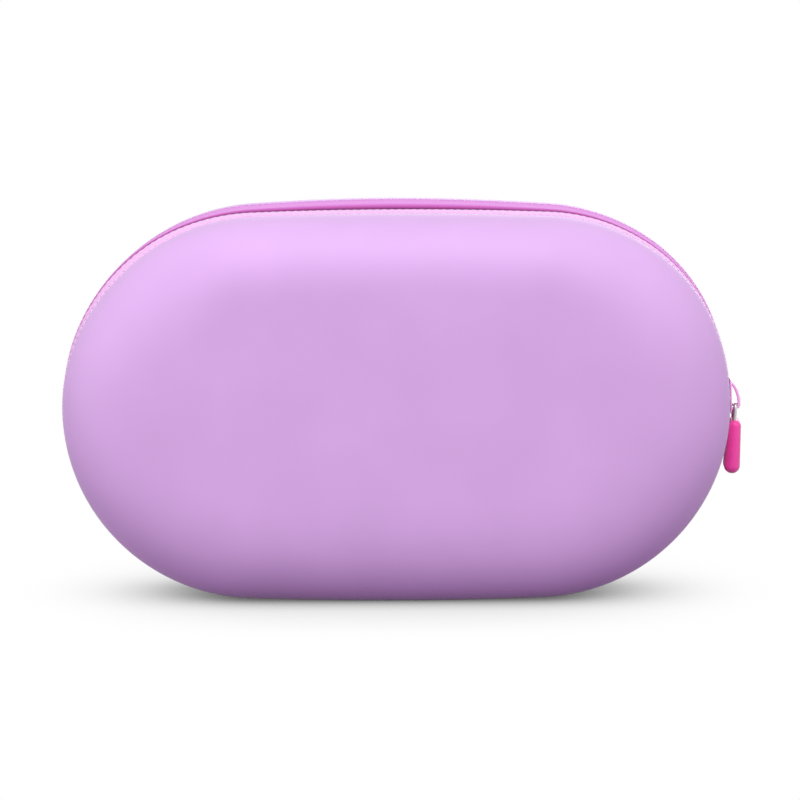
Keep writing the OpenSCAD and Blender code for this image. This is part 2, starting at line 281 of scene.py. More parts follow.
@dataclass(frozen=True)
class WovenTape(Finish):
    """Polyester zip tape in a herringbone weave, read from the piece's own UV map in mm.

    It gives the eye fine slanted ribs that change direction every few threads, a dull
    surface, a light fuzz at grazing angles and painted shade on the rolled edge, darkest
    down in the slit.

    The edge holds pairs of a distance across the tape and the colour there; the dark
    purples among them are painted shade of the slit.
    """

    edge: tuple[tuple[float, str], ...] = ()
    # Real threads are 0.3 mm apart; they are drawn coarser so that the weave shows.
    pattern_mm: float = 1.1
    stripe_mm: float = 2.3
    warp: float = 0.35
    # Tones the colour by the weave's height: painted light on the ribs, painted shade in the
    # hollows.
    shade: Spread | None = (0.0, 1.0, 0.94, 1.03)
    dent: float = 0.8
    relief_mm: float = 0.05

    def values(self) -> Inputs:
        """Plain values of the shader: a dull fibre with a pale fuzz."""
        return {"Specular IOR Level": 0.25, "Sheen Weight": 0.15, "Sheen Roughness": 0.4,
                "Sheen Tint": linear("#FFD9FA")}

    def dents(self, tree: Tree) -> Any:
        """Adds the slanted ribs and the cross threads between them.

        The ribs are a sine of the length along, pushed on by a zigzag of the distance
        across, and a weaker sine of that distance is added to them.

        Args:
            tree: The material's node tree.

        Returns:
            The weave's height, from 0 to 1.
        """
        along, across = flat_place(tree)
        slant = add(tree, "ShaderNodeMath", {
            0: across, 1: self.stripe_mm}, operation="PINGPONG")
        run = add(tree, "ShaderNodeMath", {0: along, 1: slant}, operation="ADD")
        weave = add(tree, "ShaderNodeMath", {
            0: wave(tree, across, self.pattern_mm / 2), 1: self.warp,
            2: wave(tree, run, self.pattern_mm)}, operation="MULTIPLY_ADD")
        return add(tree, "ShaderNodeMapRange", spread(
            weave, -1.0 - self.warp, 1.0 + self.warp, 0.0, 1.0))

    def base_colour(self, tree: Tree) -> Any:
        """Adds a ramp through the colours of the edge.

        Its dark purples paint the shade of the slit onto the rolled edge.

        Args:
            tree: The material's node tree.

        Returns:
            The ramp.
        """
        reach = self.edge[-1][0]
        ramp = add(tree, "ShaderNodeValToRGB", {0: add(tree, "ShaderNodeMath", {
            0: flat_place(tree)[1], 1: reach}, operation="DIVIDE")})
        stops = ramp.color_ramp.elements
        stops[0].color = linear(self.colour)
        for far, shade in self.edge[:-1]:
            stops.new(far / reach).color = linear(shade)
        stops[len(stops) - 1].color = linear(self.edge[-1][1])
        return ramp


@dataclass(frozen=True)
class SpunThread(Finish):
    """Twisted polyester thread, with a twist that runs round the strand.

    It gives the eye a soft silky strand with fine slanted plies.
    """

    pattern_mm: float = 0.5
    # Tones the colour by the plies' height: painted light on them, painted shade between them.
    shade: Spread | None = (-1.0, 1.0, 0.85, 1.05)
    dent: float = 0.4

    def values(self) -> Inputs:
        """Plain values of the shader: a silky sheen."""
        return {"Sheen Weight": 0.3}

    def dents(self, tree: Tree) -> Any:
        """Adds the plies: a sine of the length along plus the turn round the strand."""
        along, around = flat_place(tree)
        return wave(tree, add(tree, "ShaderNodeMath", {
            0: along, 1: 1.0 / self.pattern_mm, 2: around}, operation="MULTIPLY_ADD"), 1.0)


@dataclass(frozen=True)
class NylonFilament(Finish):
    """Drawn nylon monofilament, dyed in the mass.

    It gives the eye small bright glints on a slightly translucent plastic, uneven where the
    drawing marked it.
    """

    pattern_mm: float = 0.7
    uneven: Spread | None = (0.0, 1.0, 0.08, 0.08)

    def values(self) -> Inputs:
        """Plain values of the shader: nylon's own, and a little translucence."""
        return {"IOR": 1.53, "Subsurface Weight": 0.1, "Subsurface Scale": 0.5 * MM}


@dataclass(frozen=True)
class EnamelledZinc(Finish):
    """Die-cast zinc under baked enamel.

    It gives the eye a glossy coat with a slight orange peel, paler along the edges, where
    it is thinner.
    """

    pattern_mm: float = 1.2
    pattern_detail: float = 1.0
    shade: Spread | None = (0.5, 0.62, 1.0, 1.06)
    dent: float = 0.25

    def values(self) -> Inputs:
        """Plain values of the shader: the enamel and its coat."""
        return {"IOR": 1.5, "Coat Weight": 0.6, "Coat Roughness": 0.08}

    def tones(self, tree: Tree, dents: Any) -> Any:
        """Adds how sharp the form is, which shows its edges."""
        return add(tree, "ShaderNodeNewGeometry").outputs["Pointiness"]


@dataclass(frozen=True)
class PlatedWire(Finish):
    """Bright nickel plate on drawn steel wire.

    It gives the eye crisp dark and light reflections, dulled here and there by fine scuffs.
    """

    pattern_mm: float = 0.8
    pattern_detail: float = 4.0
    uneven: Spread | None = (0.3, 0.7, 0.05, 0.08)

    def values(self) -> Inputs:
        """Plain values of the shader: a metal."""
        return {"Metallic": 1.0}


LAVENDER_SILICONE = MouldedSilicone("lavender_silicone", "#DAAFE7", 0.52, gloss=0.3)
PULL_SILICONE = MouldedSilicone("hot_pink_silicone", "#FF4CAC", 0.42, sheen=0.3,
                                shade=(0.3, 0.7, 0.98, 1.02))
# The dark purples at the slit edges of both tapes are painted shade of the slit, not a dye.
TAPES = {
    Side.FRONT: WovenTape("woven_polyester_tape_light", "#FBC8FB", 0.8, edge=(
        (6.7, "#FBC8FB"), (6.95, "#B05AA5"), (7.2, "#5A1E52"), (9.1, "#5A1E52"),
        (9.9, "#FBC8FB"))),
    Side.REAR: WovenTape("woven_polyester_tape_orchid", "#E697E6", 0.8, edge=(
        (7.5, "#E697E6"), (7.9, "#D47FD2"), (8.4, "#BE5CAB"), (8.7, "#9F418E"),
        (8.95, "#5A1E52"), (9.6, "#5A1E52"), (10.4, "#E697E6")))}
HINGE_TAPE = WovenTape("woven_polyester_hinge", "#E697E6", 0.8, edge=((40.0, "#E697E6"),))
COIL_NYLON = NylonFilament("nylon_coil", "#D970CF", 0.35)
STOP_NYLON = NylonFilament("moulded_nylon_stop", "#D970CF", 0.4)
FILLER_CORD = SpunThread("polyester_filler_cord", "#EBA0EA", 0.8, pattern_mm=1.6)
THREADS = {Side.FRONT: SpunThread("polyester_thread_light", "#FBCBFB", 0.7),
           Side.REAR: SpunThread("polyester_thread_orchid", "#E294E2", 0.7)}
PINK_ENAMEL = EnamelledZinc("pink_enamel_on_zinc", "#FFBCF4", 0.3)
NICKEL = PlatedWire("bright_nickel_wire", "#B9B5B2", 0.16)


# Meshes


def unit(vectors: Array) -> Array:
    """Vectors of length 1 in the same directions."""
    return vectors / np.maximum(np.linalg.norm(vectors, axis=-1, keepdims=True), 1e-12)


def lengths(path: Array) -> Array:
    """Length along a path at each of its places."""
    return np.concatenate([[0.0], np.cumsum(np.linalg.norm(np.diff(path, axis=0), axis=1))])


def even(path: Array, count: int) -> Array:
    """Spreads points evenly along a path.

    Args:
        path: Places along it, closely spaced.
        count: Number of points wanted.

    Returns:
        That many places at equal distances.
    """
    far = lengths(path)
    where = np.linspace(0.0, far[-1], count)
    return np.stack([np.interp(where, far, path[:, k]) for k in range(path.shape[1])], 1)


def squared(swing: Array, power: float) -> Array:
    """A sine or cosine, its sign kept and its size raised to a power, for squarer corners."""
    return np.sign(swing) * np.abs(swing) ** power


def rounded_plan(half_w: float, half_l: float, power: float, count: int = 40,
                 tail: float = 1.0) -> Array:
    """Rounded rectangle: |y/w|^p + |z/l|^p = 1, its width falling to tail x w at the top.

    Args:
        half_w: Half its width.
        half_l: Half its length.
        power: How square its corners are.
        count: Points round it.
        tail: Share of the width that is left at the upper end.

    Returns:
        Places in Y and Z.
    """
    t = np.linspace(0.0, TURN, count, endpoint=False)
    y, z = squared(np.cos(t), 2 / power), squared(np.sin(t), 2 / power)
    return np.stack([y * half_w * (1 + (tail - 1) * (z + 1) / 2), z * half_l], 1)


@dataclass
class Surface:
    """A mesh that is put together from grids of points, in millimetres."""

    points: list[Array] = field(default_factory=list)
    faces: list[NDArray[np.int64]] = field(default_factory=list)
    corners: list[Array] = field(default_factory=list)

    def grid(self, points: Array, ring: bool = False, loop: bool = False,
             flip: bool = False, pattern: Array | None = None) -> None:
        """Adds a grid of quads, one for each step in both directions.

        Args:
            points: Places by row, column and axis.
            ring: The last column closes on the first.
            loop: The last row closes on the first.
            flip: Turns the faces over.
            pattern: Pattern coordinates by row and column, one more of each where it closes.
        """
        rows, cols = points.shape[:2]
        i, j = np.meshgrid(np.arange(rows if loop else rows - 1),
                           np.arange(cols if ring else cols - 1), indexing="ij")
        steps = [(0, 0), (0, 1), (1, 1), (1, 0)]
        if flip:
            steps.reverse()
        quads = np.stack([(i + a) % rows * cols + (j + b) % cols for a, b in steps], -1)
        if pattern is None:
            pattern = np.zeros((rows + 1, cols + 1, 2))
        where = np.stack([pattern[i + a, j + b] for a, b in steps], 2)
        self.faces.append(quads.reshape(-1, 4) + sum(map(len, self.points)))
        self.points.append(points.reshape(-1, 3))
        self.corners.append(where.reshape(-1, 2))

    def lid(self, rim: Array, flip: bool = False) -> None:
        """Closes an open rim of points with a fan round its middle.

        Args:
            rim: Places round the rim.
            flip: Turns the faces over.
        """
        middle = np.broadcast_to(rim.mean(0), rim.shape)
        self.grid(np.stack([rim, middle]), ring=True, flip=flip)

    def bar(self, rings: Array, closed: bool = False, pattern: Array | None = None) -> None:
        """Joins rings in their order into a bar with closed ends, or into a loop.

        Args:
            rings: Places by ring, place and axis.
            closed: The last ring joins the first.
            pattern: Pattern coordinates, as for a grid.
        """
        self.grid(rings, ring=True, loop=closed, flip=True, pattern=pattern)
        if not closed:
            self.lid(rings[0])
            self.lid(rings[-1], flip=True)

    def strip(self, points: Array, section: Array, far: Array, flip: bool) -> None:
        """Adds a woven strip with closed ends, its pattern in mm along and round it.

        Args:
            points: Places by row, round the section, and by column, along the strip.
            section: The same section drawn flat, for the length round it.
            far: Length along the strip at each column.
            flip: Turns the faces over.
        """
        around = lengths(np.concatenate([section, section[:1]]))
        pattern = np.stack(np.meshgrid(around, far, indexing="ij")[::-1], -1)
        self.grid(points, loop=True, flip=flip, pattern=pattern)
        self.lid(points[:, 0], flip=not flip)
        self.lid(points[:, -1], flip=flip)

    def tube(self, path: Array, up: Array, radius: Array | float, sides: int,
             closed: bool = False, twist: Array | float = 0.0) -> None:
        """Carries a circle along a path: place + r (cos t side + sin t up'), t once round.

        Args:
            path: Places along the middle line.
            up: Direction, or one for each place, that the section's top keeps to.
            radius: Radius, or one for each side.
            sides: Number of sides.
            closed: The path closes on itself.
            twist: Turn of the section, in radians, or one for each place.
        """
        ahead = np.roll(path, -1, 0) - np.roll(path, 1, 0)
        if not closed:
            ahead[0], ahead[-1] = path[1] - path[0], path[-1] - path[-2]
        ahead = unit(ahead)
        across = unit(np.cross(ahead, np.broadcast_to(up, path.shape)))
        over = np.cross(across, ahead)
        t = np.arange(sides) * TURN / sides + np.broadcast_to(twist, len(path))[:, None]
        rings = (path[:, None] + (radius * np.cos(t))[..., None] * across[:, None]
                 + (radius * np.sin(t))[..., None] * over[:, None])
        far = lengths(path)
        far = np.append(far, 2 * far[-1] - far[-2])
        once = np.linspace(0.0, 1.0, sides + 1)
        self.bar(rings, closed, np.stack(np.meshgrid(far, once, indexing="ij"), -1))

    def pillow(self, plan: Array, low: float, high: float, soft: float,
               steps: int = 5) -> None:
        """A plate with rounded edges: its plan, drawn in by soft (1 - cos t) to each face.

        Args:
            plan: Outline in Y and Z, closed, about its own middle.
            low: X of its inner face.
            high: X of its outer face.
            soft: Radius of its edges.
            steps: Steps on each rounded edge.
        """
        middle = plan.mean(0)
        arms = plan - middle
        t = np.linspace(0.0, QUARTER, steps)
        draw = np.concatenate([[np.inf], soft * (1 - np.cos(t[::-1])),
                               soft * (1 - np.cos(t)), [np.inf]])
        x = np.concatenate([[low], low + soft * (1 - np.sin(t[::-1])),
                            high - soft * (1 - np.sin(t)), [high]])
        scale = np.maximum(1.0 - draw[:, None] / np.abs(arms).max(0), 0.0)
        flat = middle + arms[None] * scale[:, None]
        height = np.broadcast_to(x[:, None, None], (*flat.shape[:2], 1))
        self.grid(np.concatenate([height, flat], -1), ring=True)

    def move(self, turn: Callable[[Array], Array]) -> None:
        """Moves every place by a function of places."""
        self.points = [turn(places) for places in self.points]

    def build(self, name: str, finish: Finish, node: str, slot: str,
              body: str | None = None, sharp: float = 40.0) -> Piece:
        """Makes the piece: joined, closed, smooth, dressed and tied to the part.

        Args:
            name: Name of the piece.
            finish: What it is made of.
            node: CAD node that it stands for.
            slot: Material slot of the record; not used.
            body: Body that it rides on, if any.
            sharp: Angle in degrees above which an edge stays crisp.

        Returns:
            The new object, at the origin, with its place in its mesh.
        """
        points = np.concatenate(self.points) * MM
        mesh = bpy.data.meshes.new(name)
        mesh.from_pydata(points.tolist(), [], np.concatenate(self.faces).tolist())
        layer = mesh.uv_layers.new(name=PATTERN)
        layer.data.foreach_set("uv", np.concatenate(self.corners).astype(np.float32).ravel())
        work = bmesh.new()
        work.from_mesh(mesh)
        bmesh.ops.remove_doubles(work, verts=work.verts, dist=JOIN)
        bmesh.ops.dissolve_degenerate(work, edges=work.edges, dist=SPECK)
        work.to_mesh(mesh)
        work.free()
        mesh.shade_smooth()
        mesh.set_sharp_from_angle(angle=math.radians(sharp))
        mesh.materials.append(finish.material())
        made = bpy.data.objects.new(name, mesh)
        bpy.context.scene.collection.objects.link(made)
        if body:
            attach(made, body)
        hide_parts(node)
        return made


# The outline


@dataclass(frozen=True)
class Outline:
    """The rim line: two round ends, a bowed top and a bowed base, all tangent arcs.

    A place on it is named by its normal angle, in degrees from +X towards +Z.
    """

    length: float = 198.4
    height: float = 116.6
    crown_rise: float = 0.8
    base_flat: float = 50.0
    rear_rise: float = 1.2
    rear_rise_l: float = 150.0
    rear_rise_x: float = -3.0
    crown_w: float = 9.4
    corner_crown: float = 0.9
    top_lean: float = 1.5
    lean_h: float = 50.0

    @property
    def half_h(self) -> float:
        """Half the height."""
        return self.height / 2

    @property
    def end_r(self) -> float:
        """Radius of a round end."""
        return self.half_h - self.crown_rise

    @property
    def end_x(self) -> float:
        """X of the middle of the right-hand round end."""
        return self.length / 2 - self.end_r

    @property
    def crown_r(self) -> float:
        """Radius of the bowed top and base."""
        return (self.end_x ** 2 + self.half_h ** 2 - self.end_r ** 2) / (2 * self.crown_rise)

    @property
    def end_span(self) -> float:
        """Normal angle at which a round end meets the top."""
        return math.degrees(math.acos(self.end_x / (self.crown_r - self.end_r)))

    @property
    def mid_z(self) -> float:
        """Height of the middle over the floor, once the base is flattened."""
        return self.half_h - self.crown_r + math.sqrt(
            self.crown_r ** 2 - self.base_flat ** 2 / 4)

    @property
    def marks(self) -> tuple[Array, Array]:
        """Where the arcs meet, from the lower right.

        Returns:
            Lengths along the rim, and normal angles.
        """
        a = self.end_span
        angles = np.array([-a, a, 180 - a, 180 + a, 360 - a])
        radii = np.array([self.end_r, self.crown_r, self.end_r, self.crown_r])
        return np.concatenate([[0.0], np.cumsum(np.radians(np.diff(angles)) * radii)]), angles

    def angle_at(self, far: Array) -> Array:
        """Normal angle at a length along the rim."""
        return np.interp(far, *self.marks)

    def far_at(self, angle: Array | float) -> Array:
        """Length along the rim at a normal angle."""
        return np.interp(angle, *self.marks[::-1])

    def place(self, angle: Array, out: Array) -> Array:
        """Place of the rim moved out by a distance: middle of the arc + (r + out)(cos, sin).

        Args:
            angle: Normal angles.
            out: Distances outwards.

        Returns:
            X and Z.
        """
        b = np.mod(angle, 360.0)
        span = self.end_span
        right = (b <= span) | (b >= 360 - span)
        left = (b >= 180 - span) & (b <= 180 + span)
        side = np.where(b < 180, 1.0, -1.0)
        radius = np.where(right | left, self.end_r, self.crown_r) + out
        x0 = np.where(right, self.end_x, np.where(left, -self.end_x, 0.0))
        z0 = self.mid_z + np.where(right | left, 0.0, side * (self.half_h - self.crown_r))
        t = np.radians(b)
        return np.stack([x0 + radius * np.cos(t), z0 + radius * np.sin(t)], -1)

    def hump(self, angle: Array, x: Array) -> Array:
        """The rear rise: cos^2 (pi (x - x0) / l) over the top, none elsewhere.

        Args:
            angle: Normal angles.
            x: Places along X.

        Returns:
            Shares of the rise.
        """
        away = x - self.rear_rise_x
        on_top = (np.mod(angle, 360.0) <= 180) & (np.abs(away) <= self.rear_rise_l / 2)
        return np.where(on_top, np.cos(np.pi * away / self.rear_rise_l) ** 2, 0.0)

    def swell(self, angle: Array) -> Array:
        """How far the soft tape swells out over the left upper corner: c sin^2 (2 angle).

        Args:
            angle: Normal angles.

        Returns:
            Distances outwards.
        """
        b = np.radians(np.mod(angle, 360.0))
        corner = (b > QUARTER) & (b < math.pi)
        return np.where(corner, self.corner_crown * np.sin(2 * b) ** 2, 0.0)

    def skin(self, depth: Array | float, out: Array | float, angle: Array, side: Side,
             share: Array | float = 0.0, floor: float = 0.0) -> Array:
        """Places for depths and distances out, whose arrays are broadcast together.

        Args:
            depth: Distances from the middle plane.
            out: Distances out from the rim line.
            angle: Normal angles.
            side: Half that they belong to.
            share: Shares of the rear rise that they take.
            floor: Height that nothing goes below.

        Returns:
            X, Y and Z by the broadcast shape.
        """
        depth, out, share, angle = np.broadcast_arrays(depth, out, share, angle)
        swell = self.swell(angle) * np.maximum(1 - (depth / self.crown_w) ** 2, 0.0)
        flat = self.place(angle, out + swell)
        rise = self.rear_rise * share * self.hump(angle, flat[..., 0])
        z = flat[..., 1] + (rise if side is Side.REAR else 0.0)
        up = np.clip((z - self.mid_z) / self.lean_h, 0.0, 1.0)
        x = flat[..., 0] + self.top_lean * np.sin(up * QUARTER) ** 2
        return np.stack([x, side.value * depth, np.maximum(z, floor)], -1)

    def outward(self, angle: Array) -> Array:
        """Outward directions at normal angles."""
        t = np.radians(angle)
        return np.stack([np.cos(t), np.zeros_like(t), np.sin(t)], -1)


@dataclass(frozen=True)
class Layout:
    """Sizes at the rim that several pieces share."""

    tape_w: float = 9.4
    tape_t: float = 0.8
    half_slit: float = 0.35
    seam_gap: float = 0.1
    coil_in: float = 0.1
    coil_w: float = 2.8
    coil_h: float = 2.2
    rise_w: float = 1.5
    hinge_gap: float = 0.8
    stop_l: float = 3.0

    @property
    def rebate(self) -> float:
        """How deep the top of the coil and of the flange lies."""
        return self.tape_t + self.seam_gap

    @property
    def coil_out(self) -> float:
        """Distance out of the coils' middle line, which lies inside the rim."""
        return -self.rebate - self.coil_h / 2

    @property
    def zip_far(self) -> tuple[float, float]:
        """The zip's reach, from just past one end of the hinge to just before the other.

        Returns:
            Lengths along the rim where it starts and ends.
        """
        gap = math.degrees(self.hinge_gap / RIM.end_r)
        return (float(RIM.far_at(-RIM.end_span + gap)),
                float(RIM.far_at(180 + RIM.end_span - gap)))

    @property
    def coil_far(self) -> tuple[float, float]:
        """Lengths along the rim where the coils start and end, between the stops."""
        start, end = self.zip_far
        return start + self.stop_l, end - self.stop_l

    def share(self, depth: Array | float) -> Array:
        """Share of the rear rise that a place on the flat rim takes: sin of a quarter turn."""
        reach = (np.asarray(depth, float) - self.half_slit) / self.rise_w
        return np.sin(np.clip(reach, 0.0, 1.0) * QUARTER)


RIM = Outline()
LAYOUT = Layout()


# The halves


@dataclass
class HalfShell:
    """One moulded half: a crowned face, a round shoulder, a straight side and a flange."""

    side: Side
    half_depth: float = 29.0
    side_w: float = 11.5
    wall: float = 2.0
    face_flat_r: float = 22.0
    face_power: float = 2.7
    side_power: float = 1.8
    top_flat_r: float = 33.5
    top_power: float = 3.2
    top_spread: float = 7.0
    edge_r: float = 0.2
    flange_start: float = 5.3
    lip_r: float = 0.3
    crisp: float = 0.05
    back_step: float = 0.5
    across: int = 54
    edge_steps: int = 6
    lip_steps: int = 9
    arc_steps: int = 150
    top_steps: int = 60
    face_steps: int = 5
    side_steps: int = 5
    fine_steps: int = 4000

    def curves(self, flat_r: float, power: float) -> Array:
        """Outer and inner curve of the shoulder, from the side to the face.

        The outer one is (1 - inset/reach)^p + ((depth - side) / (half - side))^q = 1, and
        the inner one lies a wall's thickness along its normal.

        Args:
            flat_r: Radius of the flat of the face, which the reach ends at.
            power: The power p.

        Returns:
            Both curves, by point, with depth and inset.
        """
        reach, rise = RIM.end_r - flat_r, self.half_depth - self.side_w
        t = np.linspace(0.0, QUARTER, self.fine_steps)
        q, e = np.cos(t) ** (2 / power), np.sin(t) ** (2 / self.side_power)
        outer = np.stack([self.side_w + rise * e, reach * (1 - q)], 1)
        normal = unit(np.stack([self.side_power * e ** (self.side_power - 1) / rise,
                                -power * q ** (power - 1) / reach], 1))
        return np.stack([even(outer, self.across),
                         even(outer - self.wall * normal, self.across)])

    def angles(self) -> Array:
        """Normal angles all round, closer on the round ends.

        Returns:
            The angles, from the lower right.
        """
        span = RIM.end_span
        runs = [(-span, span, self.arc_steps), (span, 180 - span, self.top_steps),
                (180 - span, 180 + span, self.arc_steps),
                (180 + span, 360 - span, self.top_steps)]
        return np.concatenate([np.linspace(a, b, n, endpoint=False) for a, b, n in runs])

    def rim_rows(self) -> Array:
        """The edge, the rebate and the sewing flange, with close rows at crisp corners.

        Returns:
            Depth and distance out of each row.
        """
        start, near = LAYOUT.tape_w + LAYOUT.seam_gap, self.crisp
        t = np.linspace(0.0, QUARTER, self.edge_steps)
        edge = np.stack([start + self.edge_r * (1 - np.sin(t)),
                         -self.edge_r * (1 - np.cos(t))], 1)
        low, high = -self.wall, -LAYOUT.rebate
        t = np.linspace(0.0, math.pi, self.lip_steps)
        lip = np.stack([self.flange_start + self.lip_r * (1 - np.sin(t)),
                        (low + high) / 2 + (high - low) / 2 * np.cos(t)], 1)
        flange = [[start, -self.edge_r - near], [start, high + near], [start, high],
                  [start - 2 * near, high], [self.flange_start + self.lip_r + 2 * near, high]]
        back = [[start - self.back_step, low], [start + self.back_step, low]]
        return np.concatenate([edge, flange, lip, back])

    def middle(self, ring: Array, angle: Array) -> Array:
        """Draws a ring in to a straight line along the middle of the face.

        Places above and below the line meet on it in pairs, so that it closes.

        Args:
            ring: Places round the flat of the face.
            angle: Their normal angles.

        Returns:
            Rings at equal steps, the last of them the line.
        """
        line = ring.copy()
        flat = RIM.place(angle, np.array(self.face_flat_r - RIM.end_r))[:, 0]
        share = RIM.end_x / (RIM.end_x + self.face_flat_r)
        line[:, 0] = np.clip(flat * share, -RIM.end_x, RIM.end_x)
        line[:, 2] = RIM.mid_z
        steps = np.linspace(0.0, 1.0, self.face_steps + 1)[1:, None, None]
        return ring[None] * (1 - steps) + line[None] * steps

    def build(self) -> Piece:
        """Carries the curves round the rim, with the middle of the face drawn to a line.

        The shoulder's curve at each angle lies between the one round the ends and the one
        over the top, by sin^7 of the angle.

        Returns:
            The half, riding on its body.
        """
        angle = self.angles()
        tight = np.clip(np.sin(np.radians(angle)), 0.0, 1.0)[:, None] ** self.top_spread
        around = self.curves(self.face_flat_r, self.face_power)[:, :, None]
        over = self.curves(self.top_flat_r, self.top_power)[:, :, None]
        outer, inner = around * (1 - tight) + over * tight
        rim = self.rim_rows()
        edge = np.linspace(self.side_w, rim[0, 0], self.side_steps)[1:-1]
        side = np.concatenate([np.stack([edge, np.zeros_like(edge)], 1), rim])
        side = np.repeat(side[:, None], angle.size, 1)
        depth = np.concatenate([outer[::-1, :, 0], side[..., 0], inner[..., 0]])
        out = np.concatenate([-outer[::-1, :, 1], side[..., 1], -inner[..., 1]])
        shoulder = np.clip(1 - np.abs(out) / (RIM.end_r - self.top_flat_r), 0.0, 1.0) ** 2
        share = np.where(depth < LAYOUT.tape_w + LAYOUT.seam_gap, LAYOUT.share(depth), shoulder)
        grid = RIM.skin(depth, out, angle, self.side, share)
        face, back = self.middle(grid[0], angle), self.middle(grid[-1], angle)
        surface = Surface()
        surface.grid(np.concatenate([face[::-1], grid, back]), ring=True,
                     flip=self.side is Side.FRONT)
        return surface.build(self.side.of("silicone_half"), LAVENDER_SILICONE,
                             self.side.of("shell"), "silicone_shell", self.side.body)


# The zip


@dataclass
class ZipTape:
    """One woven tape, flush with its half, its inner edge rolled down into the slit."""

    side: Side
    step: float = 1.5
    corner_r: float = 0.15
    bevel: float = 0.1
    top_steps: int = 14
    under_steps: int = 10
    roll_steps: int = 8
    corner_steps: int = 4

    @property
    def roll(self) -> tuple[float, float]:
        """Width and height of the rolled edge, the rear one standing open over the top."""
        return (1.5, 0.6) if self.side is Side.FRONT else (1.4, 0.7)

    def section(self) -> Array:
        """The flat top, the rolled edge, the underside and the outer corner.

        Returns:
            Depth and distance out round the section, from the outer edge on top.
        """
        w, t, gap, r = LAYOUT.tape_w, LAYOUT.tape_t, LAYOUT.half_slit, self.corner_r
        roll_w, roll_h = self.roll
        top = np.linspace(w - r, gap + roll_w, self.top_steps)
        a = np.linspace(0.0, QUARTER, self.roll_steps)[1:]
        roll = np.stack([gap + roll_w * (1 - np.sin(a)), -roll_h * (1 - np.cos(a))], 1)
        under = np.linspace(gap + self.bevel / 2, w - self.bevel, self.under_steps)
        a = np.linspace(0.0, QUARTER, self.corner_steps)
        corner = np.stack([w - r + r * np.cos(a), -r + r * np.sin(a)], 1)
        return np.concatenate([np.stack([top, np.zeros_like(top)], 1), roll,
                               np.stack([under, np.full_like(under, -t)], 1),
                               [[w, -t + self.bevel]], corner[:-1]])

    def build(self) -> Piece:
        """Carries the section along the zip.

        Returns:
            The tape, riding on its half.
        """
        start, end = LAYOUT.zip_far
        far = np.linspace(start, end, int((end - start) / self.step))
        row = self.section()
        depth = row[:, :1]
        points = RIM.skin(depth, row[:, 1:], RIM.angle_at(far), self.side,
                          LAYOUT.share(depth))
        surface = Surface()
        surface.strip(points, row, far, flip=self.side is Side.FRONT)
        return surface.build(self.side.of("woven_tape"), TAPES[self.side],
                             self.side.of("zip_tape"), "zip_tape", self.side.body)


@dataclass
class ZipCoil:
    """One nylon coil under its tape: flat loops whose heads hook between the other's."""

    side: Side
    pitch: float = 1.2
    wire: float = 0.52
    hook: float = 0.55
    head_power: float = 0.6
    back_power: float = 0.8
    points_a_loop: int = 9
    sides: int = 5

    def build(self) -> Piece:
        """Winds the loops: a rounded rectangle in section that climbs one pitch a turn.

        Returns:
            The coil, riding on its half.
        """
        start, end = LAYOUT.coil_far
        loops = int((end - start - self.pitch) / self.pitch)
        turn = np.arange(loops * self.points_a_loop) / self.points_a_loop
        shift = 0.0 if self.side is Side.FRONT else self.pitch / 2
        angle = RIM.angle_at(start + self.pitch / 4 + shift + turn * self.pitch)
        t = TURN * turn
        inner = LAYOUT.coil_in + self.wire / 2
        outer = LAYOUT.coil_in + LAYOUT.coil_w - self.wire / 2
        middle = (inner + outer) / 2
        depth = middle - (outer - inner) / 2 * squared(np.cos(t), self.head_power)
        depth -= self.hook * np.maximum(np.cos(t), 0.0) ** 3
        half_h = (LAYOUT.coil_h - self.wire) / 2
        out = LAYOUT.coil_out + half_h * squared(np.sin(t), self.back_power)
        path = RIM.skin(depth, out, angle, self.side)
        core = RIM.skin(middle, LAYOUT.coil_out, angle, self.side)
        surface = Surface()
        surface.tube(path, unit(path - core), self.wire / 2, self.sides)
        return surface.build(self.side.of("coil_loops"), COIL_NYLON,
                             self.side.of("zip_coil"), "zip_coil", self.side.body,
                             STRAND_SHARP)


@dataclass
class FillerCord:
    """The twisted cord that fills a coil."""

    side: Side
    width: float = 0.95
    lobes: int = 3
    lobe: float = 0.12
    lay: float = 3.0
    step: float = 0.8
    sides: int = 9

    def build(self) -> Piece:
        """Carries a three-lobed section along the coil, turning once a lay.

        Returns:
            The cord, riding on its half.
        """
        start, end = LAYOUT.coil_far
        far = np.linspace(start, end, int((end - start) / self.step))
        angle = RIM.angle_at(far)
        path = RIM.skin(LAYOUT.coil_in + LAYOUT.coil_w / 2, LAYOUT.coil_out, angle, self.side)
        swing = np.cos(self.lobes * np.arange(self.sides) * TURN / self.sides)
        radius = self.width / 2 * (1 + self.lobe * swing) / (1 + self.lobe)
        surface = Surface()
        surface.tube(path, RIM.outward(angle), radius, self.sides,
                     twist=TURN * far / self.lay)
        return surface.build(self.side.of("filler_cord"), FILLER_CORD,
                             self.side.of("core_cord"), "cord", self.side.body,
                             STRAND_SHARP)


@dataclass
class CoilStitches:
    """The row of lock stitches on a tape that holds its coil."""

    side: Side
    inset: float = 2.0
    thread: float = 0.25
    sunk: float = 0.3
    rise: float = 0.27
    stitch: float = 2.2
    margin: float = 1.0
    points_a_stitch: int = 8
    sides: int = 5

    def build(self) -> Piece:
        """Runs a thread that dips into the tape between stitches: out = rise sin^(1/2).

        Returns:
            The thread, riding on its half.
        """
        start, end = LAYOUT.zip_far
        count = int((end - start - 2 * self.margin) / self.stitch) * self.points_a_stitch
        turn = np.arange(count) / self.points_a_stitch
        angle = RIM.angle_at(start + self.margin + turn * self.stitch)
        out = -self.sunk + self.rise * np.abs(np.sin(math.pi * turn)) ** 0.5
        depth = LAYOUT.half_slit + self.inset
        path = RIM.skin(depth, out, angle, self.side, LAYOUT.share(depth))
        surface = Surface()
        surface.tube(path, np.array([0.0, 1.0, 0.0]), self.thread / 2, self.sides)
        return surface.build(self.side.of("coil_stitches"), THREADS[self.side],
                             self.side.of("coil_thread"), "thread", self.side.body,
                             STRAND_SHARP)


